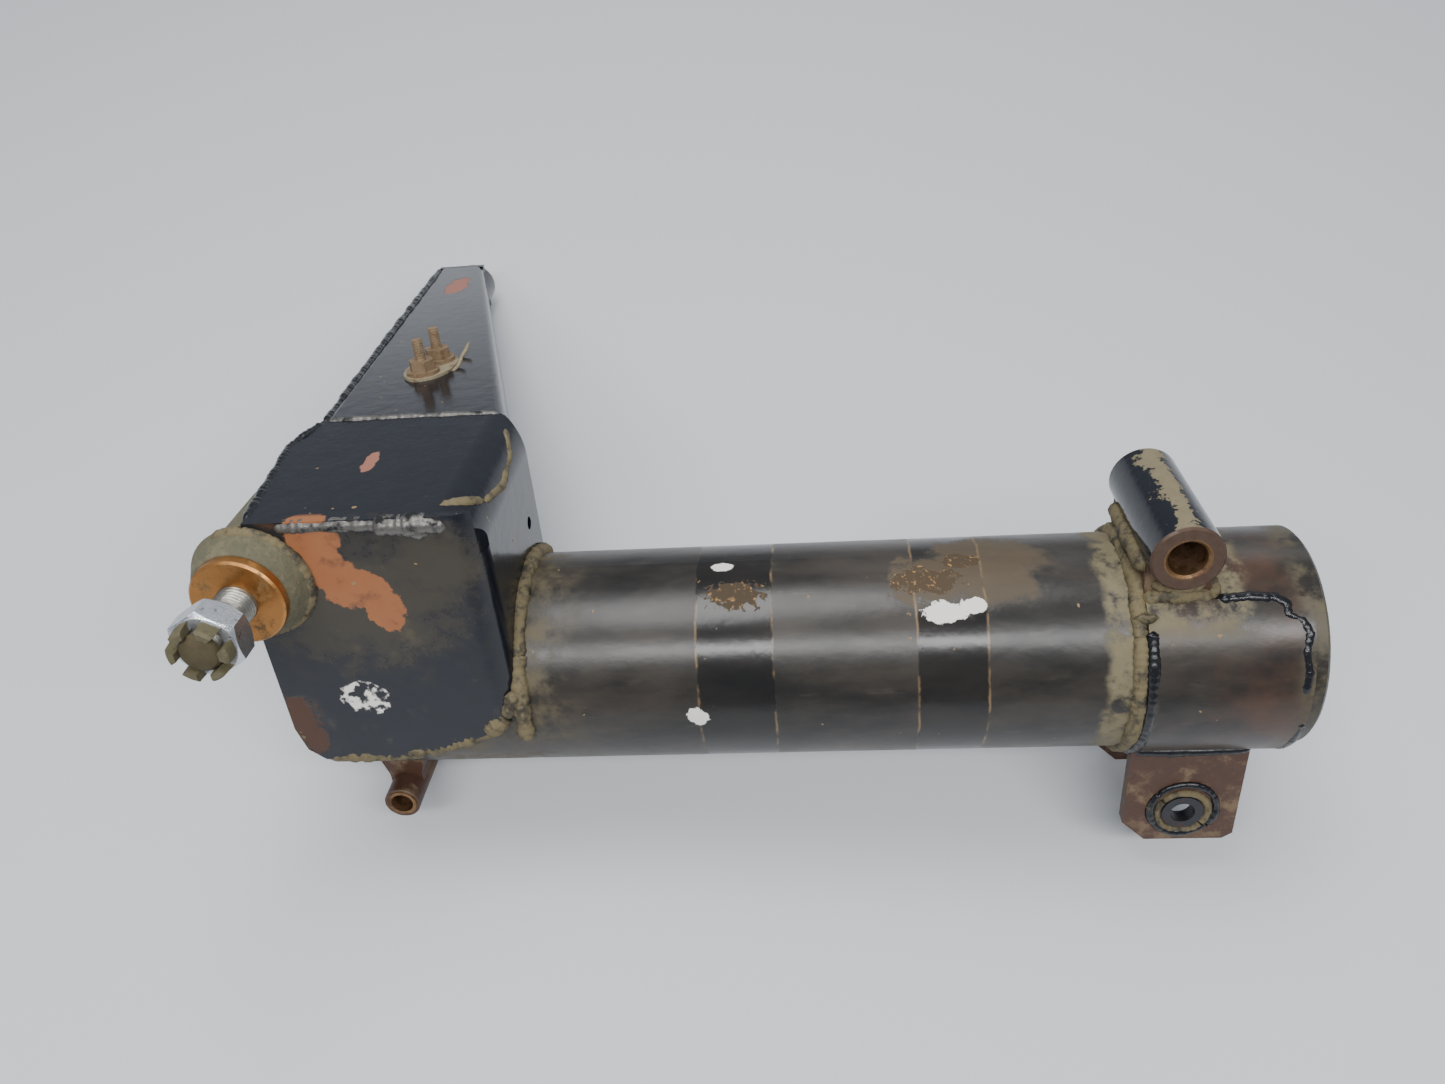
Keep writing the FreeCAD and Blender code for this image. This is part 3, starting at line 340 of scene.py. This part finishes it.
def worn(name, clean, dirt, size, amount, rough, metal, dirty_metal=None, depth=0.2):
    """A metal or paint with patches of a second colour over about AMOUNT of it."""
    look = Look(name)
    patches = look.ramp(look.noise(size, 7.0, 0.68), 0.62 - amount * 0.3, 0.80 - amount * 0.3)
    pale = tuple(min(1.0, c * 1.35) for c in clean)
    colour = look.mix(look.noise(size * 0.4), clean, pale)
    colour = look.mix(patches, colour, dirt)
    grime = look.ramp(look.noise(size * 0.3, 5.0), 0.56, 0.74)
    colour = look.mix(look.both(grime, 0.45), colour, (0.03, 0.025, 0.02))
    if dirty_metal is None:
        dirty_metal = metal * 0.3
    # a paint is nowhere metallic, and a number that is the same all over isn't mixed
    shine = look.level(patches, metal, dirty_metal) if metal else 0.0
    return look.done(colour, look.level(patches, rough, 0.82), shine,
                     look.noise(size * 0.35, 6.0, 0.7), depth)


def sleeve_enamel():
    """Black with a worn tan strip along the top, and a bare brown end face."""
    look = Look("sleeve_enamel")
    # the black is mottled with a painted blue reflection
    colour = look.mix(look.noise(9.0), BLACK, PAINTED_BLUE_REFLECTION)
    x, z = SLEEVE
    side = look.calc("ADD", look.calc("SUBTRACT", look.x, x), look.shift(8.0, 26.0, 6.0, 0.7))
    strip = look.both(look.ramp(look.z, z + 3, z + 6), look.band(side, -4.0, 4.0, 0.5))
    colour = look.mix(strip, colour, look.mix(look.noise(4.0), KHAKI, PALE_STRIP))
    low = look.both(look.ramp(look.z, z - 4, z - 9), look.patches(8.0, 0.42, 0.60, 6.0, 0.55))
    colour = look.mix(low, colour, KHAKI)
    faces = look.either(look.ramp(look.y, 0.3 - SLEEVE_CHAMFER, -SLEEVE_CHAMFER - 0.2),
                        look.ramp(look.y, SLEEVE_CHAMFER - 0.3, SLEEVE_CHAMFER + 0.2))
    colour = look.mix(faces, colour, look.mix(look.noise(3.0, 5.0), (0.105, 0.075, 0.055), BROWN))
    rough = look.level(look.either(strip, low), look.level(faces, 0.13, 0.46), 0.75)
    return look.done(colour, rough, look.both(faces, 0.4), look.noise(4.0, 5.0), 0.2)


def nut_zinc():
    """Bright zinc on the hexagon, and olive dirt where the nut is slotted."""
    look = Look("nut_zinc")
    far = look.calc("ADD", look.y, look.calc("MULTIPLY", look.noise(3.5, 5.0), 3.0))
    dirty = look.ramp(far, *NUT_DIRT)
    colour = look.mix(look.noise(4.0), (0.50, 0.52, 0.56), (0.66, 0.68, 0.72))
    grime = look.mix(look.noise(2.5, 5.0), (0.045, 0.038, 0.018), (0.16, 0.14, 0.075))
    colour = look.mix(dirty, colour, grime)
    spots = look.ramp(look.noise(3.0, 4.0), 0.60, 0.70)
    colour = look.mix(look.both(spots, 0.6), colour, OLIVE)
    return look.done(colour, look.level(dirty, 0.24, 0.72), look.level(dirty, 0.95, 0.1),
                     look.noise(1.6, 6.0, 0.7), 0.3)


def pin_thread():
    """Tarnished steel, with dirt caked on the end that sits in the nut."""
    look = Look("pin_thread")
    end = look.ramp(look.y, *PIN_DIRT)
    colour = look.mix(look.noise(4.0), (0.20, 0.19, 0.17), (0.34, 0.33, 0.30))
    colour = look.mix(end, colour, look.mix(look.noise(2.5, 5.0), UMBER, OLIVE))
    return look.done(colour, look.level(end, 0.34, 0.8), look.level(end, 0.9, 0.1),
                     look.noise(1.8, 5.0), 0.25)


SLOTS = {
    "black_enamel": black_enamel(),
    "barrel_enamel": barrel_enamel(),
    "worn_lug_steel": worn("worn_lug_steel", (0.058, 0.027, 0.016), (0.17, 0.115, 0.068),
                           10, 0.45, 0.48, 0.1),
    "bush_steel": worn("bush_steel", (0.20, 0.115, 0.055), BROWN, 6, 0.5, 0.36, 0.85),
    "bronze": worn("bronze", (0.40, 0.185, 0.058), OLIVE, 8, 0.30, 0.34, 0.9),
    "corroded_casting": worn("corroded_casting", (0.095, 0.090, 0.055), (0.155, 0.135, 0.080),
                             5, 0.5, 0.80, 0.1, depth=1.2),
    "zinc_steel": nut_zinc(),
    "pin_steel": worn("pin_steel", STEEL, OLIVE, 7, 0.3, 0.38, 0.95),
    "hard_chrome": worn("hard_chrome", (0.60, 0.61, 0.64), (0.30, 0.28, 0.24),
                        30, 0.05, 0.10, 1.0, 0.8, 0.02),
    "seal_rubber": worn("seal_rubber", (0.012, 0.012, 0.012), (0.04, 0.036, 0.03),
                        8, 0.3, 0.62, 0.0),
    "rusty_hardware": worn("rusty_hardware", (0.20, 0.140, 0.082), (0.15, 0.078, 0.034),
                           4, 0.45, 0.58, 0.3, depth=0.4),
}
WELD_DUSTY = worn("weld_dusty", (0.030, 0.026, 0.017), KHAKI, 6, 0.85, 0.60, 0.1, depth=0.4)
WELD_BRIGHT = worn("weld_bright", (0.13, 0.125, 0.115), BLACK, 5, 0.55, 0.30, 0.6, 0.1, depth=0.4)
WELD_BLACK = worn("weld_black", BLACK, KHAKI, 9, 0.10, 0.20, 0.0, depth=0.4)
LINK_BUSH = worn("link_black", LINK_BLACK, BROWN, 5, 0.30, 0.34, 0.0, depth=0.3)
PAD_TAN = worn("pad_tan", (0.22, 0.185, 0.115), (0.13, 0.075, 0.04), 5, 0.40, 0.75, 0.0, depth=0.4)
# nodes that look unlike the rest of their slot
SPECIAL = {"brace_sleeve": sleeve_enamel(), "stud_pad": PAD_TAN, "link_lug_bushes": LINK_BUSH}

for entry in frame["record"]["subparts"]:
    shown = frame["nodes"][entry["node"]]
    shown.data.materials.clear()
    shown.data.materials.append(SPECIAL.get(entry["node"], SLOTS[entry["material_slot"]]))


# ---------------------------------------------------------------- shapes added to the solids

BEAD_STEP, BEAD_RIPPLE, BEAD_SIDES = 0.75, 2.7, 10
THREAD_SIDES, THREAD_STEPS = 40, 8  # round the axis, and along each pitch


def add_piece(name, built, material, body="cylinder"):
    """Makes a smooth piece of a finished bmesh whose vertices are in the row frame."""
    bmesh.ops.recalc_face_normals(built, faces=built.faces)
    mesh = bpy.data.meshes.new(name)
    built.to_mesh(mesh)
    built.free()
    mesh.materials.append(material)
    for face in mesh.polygons:
        face.use_smooth = True
    piece = bpy.data.objects.new(name, mesh)
    bpy.context.scene.collection.objects.link(piece)
    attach(piece, body)
    return piece


def loft(built, rings, closed_path=False):
    """Skins equal rings of points and closes the two ends."""
    made = [[built.verts.new(p) for p in ring] for ring in rings]
    count = len(made[0])
    pairs = list(zip(made, made[1:])) + ([(made[-1], made[0])] if closed_path else [])
    for a, b in pairs:
        for k in range(count):
            built.faces.new((a[k], a[(k + 1) % count], b[(k + 1) % count], b[k]))
    if not closed_path:
        built.faces.new(list(reversed(made[0])))
        built.faces.new(made[-1])


def evenly(points, step):
    """The path resampled about every STEP millimetres, in the strut's axes."""
    points = [Vector(p) for p in points]
    out = [points[0]]
    for a, b in zip(points, points[1:]):
        count = max(1, round((b - a).length / step))
        out += [a.lerp(b, (k + 1) / count) for k in range(count)]
    return out


def bead(built, points, radius, closed=False):
    """A weld bead: a lumpy, rippled rod along the path."""
    path = evenly(points, BEAD_STEP)
    if closed:
        path = path[:-1]
    phase = random.random() * 6.28
    offset = random.random() * 50
    rings = []
    last = len(path) - 1
    for k, here in enumerate(path):
        before = path[k - 1] if k or closed else here
        after = path[(k + 1) % len(path)] if k < last or closed else here
        way = (after - before).normalized()
        # the same reference at every ring keeps the skin from twisting
        reference = Vector((0, 0, 1)) if abs(way.z) < 0.8 else Vector((1, 0, 0))
        flat = way.cross(reference).normalized()
        up = flat.cross(way)
        travelled = k * BEAD_STEP
        wave = 0.045 * math.sin(travelled / BEAD_RIPPLE * 2 * math.pi + phase)
        lump = 0.34 * noise.noise(Vector((travelled * 0.11, offset, 0)))
        lump += 0.12 * noise.noise(Vector((travelled * 0.55, offset, 9)))
        taper = 1.0 if closed else min(1.0, 0.35 + 0.22 * min(k, last - k))
        size = radius * (1 + wave + lump) * taper
        ring = []
        for s in range(BEAD_SIDES):
            angle = 2 * math.pi * s / BEAD_SIDES
            rough = 1 + 0.12 * noise.noise(Vector((travelled * 0.5, math.cos(angle), offset)))
            spot = here + (flat * math.cos(angle) + up * math.sin(angle)) * size * rough
            ring.append(row(*spot))
        rings.append(ring)
    loft(built, rings, closed)


def angles_between(start, end, step, least):
    """Angles in radians from START to END degrees, in LEAST steps or more."""
    count = max(least, round(abs(end - start) / step))
    return [math.radians(start + (end - start) * k / count) for k in range(count + 1)]


def round_barrel(x, radius, start, end, step=4):
    """Points round the barrel at X, by angle from +Y towards +Z."""
    return [(x, radius * math.cos(a), radius * math.sin(a))
            for a in angles_between(start, end, step, 2)]


def over_barrel(radius, path):
    """Points over the barrel from (X, angle) pairs, by angle from +Y towards +Z."""
    return [(x, radius * math.cos(math.radians(a)), radius * math.sin(math.radians(a)))
            for x, a in path]


def facing(x, y, z, radius, start=0, end=360):
    """Points of a circle about an axis parallel to the trunnion's, by angle from +X."""
    return [(x + radius * math.cos(a), y, z + radius * math.sin(a))
            for a in angles_between(start, end, 10, 3)]


def weld_group(name, material, beads):
    """One piece of several beads, each given as (points, radius) or (points, radius, closed)."""
    built = bmesh.new()
    for points, radius, *rest in beads:
        bead(built, points, radius, bool(rest and rest[0]))
    return add_piece(name, built, material)


weld_group("weld_box_round_barrel", WELD_DUSTY, [
    (round_barrel(90.8, 41.6, 49, 192), 3.1),
    ([(12, -41.6, -13.6), (40, -41.6, -14.0), (62, -41.6, -9.6), (76, -41.6, -4.4),
      (85, -41.6, 4), (89.5, -41.6, 14)], 3.2),
    ([(76, -41.8, -4.4), (84, -41.8, 3.2)], 3.9),
    ([(4.5, -42.6, 2), (6.4, -42.4, -7.6), (12, -41.6, -13.2)], 2.0)])
weld_group("weld_box_front_edge", WELD_BRIGHT, [
    ([(20, -43.2, 88.6), (45, -43.2, 88.6), (58, -43.2, 88.4)], 2.4),
    ([(54, -43.2, 88.0), (64, -43.0, 87.4), (74, -43.0, 87.6), (80, -42.4, 86.4)], 3.5),
    ([(66, -43.8, 85.6), (73, -43.6, 84.6)], 2.6)])
weld_group("weld_top_bend", WELD_DUSTY, [
    ([(76, -37, 90.2), (83, -31, 88.4), (87, -24, 85.0)], 1.9),
    ([(87.6, -24, 84.6), (88.6, -6, 81.0), (87.6, 12, 83.0), (84.0, 27, 88.0)], 1.6)])
weld_group("weld_top_seam", WELD_BRIGHT, [
    ([(9, BOX_REAR, 90.4), (45, BOX_REAR + 0.4, 90.4), (80, BOX_REAR, 90.2)], 1.6)])
weld_group("weld_left_edges", WELD_BLACK, [
    ([(9.5, -41, 89.8), (2.6, 16, 89.8), (8.4, 36, 89.8)], 2.0),
    ([(8.4, 38, 89.6), (-1, 153, 84.9), (-10, 266, 79.4)], 1.7)])
weld_group("weld_collar", WELD_DUSTY, [
    (round_barrel(314.6, 41.0, 40, 300), 3.0),
    (round_barrel(316.5, 42.0, 132, 138, 2), 4.2)])
sleeve_x = SLEEVE[0]
weld_group("weld_sleeve", WELD_DUSTY, [
    *[([(x, -22, 46.4), (x, 22, 46.4)], 3.4) for x in (sleeve_x - 11.6, sleeve_x + 11.6)],
    *[(round_barrel(x, 41.6, 58, 126), 3.0) for x in (sleeve_x - 12.6, sleeve_x + 12.6)],
    ([(sleeve_x - 12, -24, 34.4), (sleeve_x, -24.4, 36.4), (sleeve_x + 12, -24, 34.4)], 3.4),
    ([(sleeve_x - 9, -24, 40.4), (sleeve_x, -24.2, 39.6), (sleeve_x + 9, -24, 40.4)], 2.8)])
weld_group("weld_doubler", WELD_BLACK, [
    (over_barrel(42.4, [(341, 127), (352, 126), (361, 127), (364.5, 130), (364.5, 135),
                        (369, 138), (371, 144), (369.6, 153), (370.8, 163), (370, 175)]), 2.0),
    (round_barrel(372.0, 42.2, 190, 262), 1.7),
    (round_barrel(318.4, 42.4, 140, 262), 2.2)])
weld_group("weld_link_lug", WELD_BLACK, [
    ([(320.5, -26.6, -34.6), (342, -26.8, -34.8), (363.4, -26.6, -34.6)], 2.0),
    (facing(LINK[0], -25.8, LINK[1] + 1.6, 12.7), 1.7, True)])
weld_group("weld_link_ring", WELD_DUSTY, [
    (facing(LINK[0], -26.0, LINK[1], 9.9), 1.3, True)])
weld_group("weld_door_lug", WELD_DUSTY, [
    ([(DOOR_X + side * 8.4, -20, -36.4), (DOOR_X + side * 8.8, -4, -40.4),
      (DOOR_X + side * 8.4, 13, -38.6)], 1.6) for side in (-1, 1)])
weld_group("weld_boss_root", WELD_DUSTY, [
    (facing(TRUNNION[0], -44.8, TRUNNION[1], 19.8, -110, 118), 2.4)])
pad_middle = 101
pad_top = BOX_TOP - (pad_middle - BOX_REAR) * ARM_SLOPE
weld_group("paint_flakes", PAD_TAN, [
    ([(46.5, 88, pad_top), (48.6, 93, pad_top + 1.6), (49.6, 98, pad_top + 4.2)], 0.8),
    ([(46.0, 104, pad_top), (47.6, 109, pad_top + 1.8), (48.4, 113, pad_top + 4.0)], 0.8)])
weld_group("weld_left_wall_foot", WELD_DUSTY, [
    (over_barrel(41.4, [(6.1, 112), (6.7, 120), (7.5, 130), (8.1, 140), (8.6, 150)]), 1.5),
    ([(8.4, -36.6, 20.4), (7.4, -38.8, 16), (6.2, -40.6, 10), (5.4, -41.4, 3)], 2.3)])

# ---------------------------------------------------------------- threads


def threaded(name, base, way, profile, thread, pitch, depth, material, body):
    """A turned piece with a helical thread over one stretch of its length.

    PROFILE is (distance along WAY, radius) pairs from the base; THREAD is the threaded stretch.
    """
    way = Vector(way).normalized()
    flat = way.orthogonal().normalized()
    up = way.cross(flat)
    rings = []
    for (s0, r0), (s1, r1) in zip(profile, profile[1:]):
        steps = 1
        if s1 > thread[0] and s0 < thread[1]:
            steps = max(1, round((s1 - s0) / (pitch / THREAD_STEPS)))
        for k in range(steps):
            rings.append((s0 + (s1 - s0) * k / steps, r0 + (r1 - r0) * k / steps))
    rings.append(profile[-1])
    skin = []
    for along, radius in rings:
        ring = []
        for k in range(THREAD_SIDES):
            angle = 2 * math.pi * k / THREAD_SIDES
            cut = 0.0
            if thread[0] <= along <= thread[1]:
                turn = (along / pitch - k / THREAD_SIDES) % 1.0
                fade = min(1.0, (along - thread[0]) / pitch, (thread[1] - along) / pitch)
                cut = depth * abs(2 * turn - 1) * max(0.0, fade)
            spot = Vector(base) + way * along
            spot += (flat * math.cos(angle) + up * math.sin(angle)) * (radius - cut)
            ring.append(row(*spot))
        skin.append(ring)
    built = bmesh.new()
    loft(built, skin)
    return add_piece(name, built, material, body)


head_at, pin_length = PIN_HEAD_FACE - PIN_FRONT, PIN_HEAD_BACK - PIN_FRONT
front_pin = threaded(
    "front_pin_threaded", (TRUNNION[0], PIN_FRONT, TRUNNION[1]), (0, 1, 0),
    [(0, PIN_RADIUS - PIN_CHAMFER), (PIN_CHAMFER, PIN_RADIUS), (PIN_THREADED + 0.1, PIN_RADIUS),
     (head_at, PIN_RADIUS), (head_at + 0.01, PIN_HEAD_RADIUS),
     (pin_length - 1, PIN_HEAD_RADIUS), (pin_length, PIN_HEAD_RADIUS - 1)],
    thread=(PIN_CHAMFER, PIN_THREADED), pitch=PIN_PITCH, depth=0.95,
    material=pin_thread(), body="pivot_pin")
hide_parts("front_pivot_pin")

stud_way = Vector((0, BOX_TOP - ARM_TIP[1], ARM_TIP[0] - BOX_REAR)).normalized()
for name in ("near_stud", "far_stud"):
    middle = TURN.inverted() @ (Vector(mounts[name]["pos_m"]) - ORIGIN) / MM
    exposed = mounts[name]["dims"]["length_mm"]
    threaded(name + "_thread", middle - stud_way * (exposed / 2), stud_way,
             [(0, STUD_CREST), (exposed - STUD_CHAMFER, STUD_CREST),
              (exposed, STUD_CREST - STUD_CHAMFER)],
             thread=(0.0, exposed), pitch=STUD_PITCH, depth=0.5,
             material=SLOTS["rusty_hardware"], body="cylinder")


# ---------------------------------------------------------------- stage

def make_floor():
    built = bmesh.new()
    bmesh.ops.create_grid(built, x_segments=1, y_segments=1, size=4.0)
    mesh = bpy.data.meshes.new("floor")
    built.to_mesh(mesh)
    built.free()
    paint = bpy.data.materials.new("floor_paint")
    paint.use_nodes = True
    shader = paint.node_tree.nodes["Principled BSDF"]
    shader.inputs["Base Color"].default_value = (0.62, 0.64, 0.67, 1)
    shader.inputs["Roughness"].default_value = 0.75
    mesh.materials.append(paint)
    floor = bpy.data.objects.new("floor", mesh)
    bpy.context.scene.collection.objects.link(floor)


def make_world():
    world = bpy.data.worlds.new("studio")
    world.use_nodes = True
    sky = world.node_tree.nodes["Background"]
    sky.inputs["Color"].default_value = (0.80, 0.85, 0.92, 1)
    sky.inputs["Strength"].default_value = 0.42
    bpy.context.scene.world = world


def soft_light(name, place, size, power, target):
    """An area light of SIZE metres at PLACE that faces TARGET, in the row frame."""
    data = bpy.data.lights.new(name, "AREA")
    data.shape = "RECTANGLE"
    data.size, data.size_y = size
    data.energy = power
    lamp = bpy.data.objects.new(name, data)
    lamp.location = place
    lamp.rotation_euler = (Vector(target) - Vector(place)).to_track_quat("-Z", "Y").to_euler()
    bpy.context.scene.collection.objects.link(lamp)


def make_camera(place, right, upward):
    """The camera at PLACE, with its right and up directions, all in the strut's axes."""
    data = bpy.data.cameras.new("camera")
    data.sensor_width = 36.0
    data.lens = 27.9
    data.clip_start = 0.01
    camera = bpy.data.objects.new("camera", data)
    bpy.context.scene.collection.objects.link(camera)
    right = (TURN @ Vector(right)).normalized()
    backward = right.cross((TURN @ Vector(upward)).normalized()).normalized()
    turned = Matrix((right, backward.cross(right), backward)).transposed().to_4x4()
    camera.matrix_world = Matrix.Translation(row(*place)) @ turned
    bpy.context.scene.camera = camera


make_floor()
make_world()
soft_light("key", (-0.25, 0.25, 1.4), size=(0.9, 0.6), power=13.0, target=(0, 0, 0.05))
soft_light("strip", (0.05, -0.62, 1.0), size=(1.5, 0.16), power=13.0, target=(0, -0.1, 0.08))
soft_light("back", (0.5, 1.3, 0.9), size=(1.0, 0.5), power=2.0, target=(0, 0, 0.05))
make_camera((203.8, -359.5, 268.1), right=(0.9955, 0.0551, -0.0777),
            upward=(0.0377, 0.5212, 0.8526))
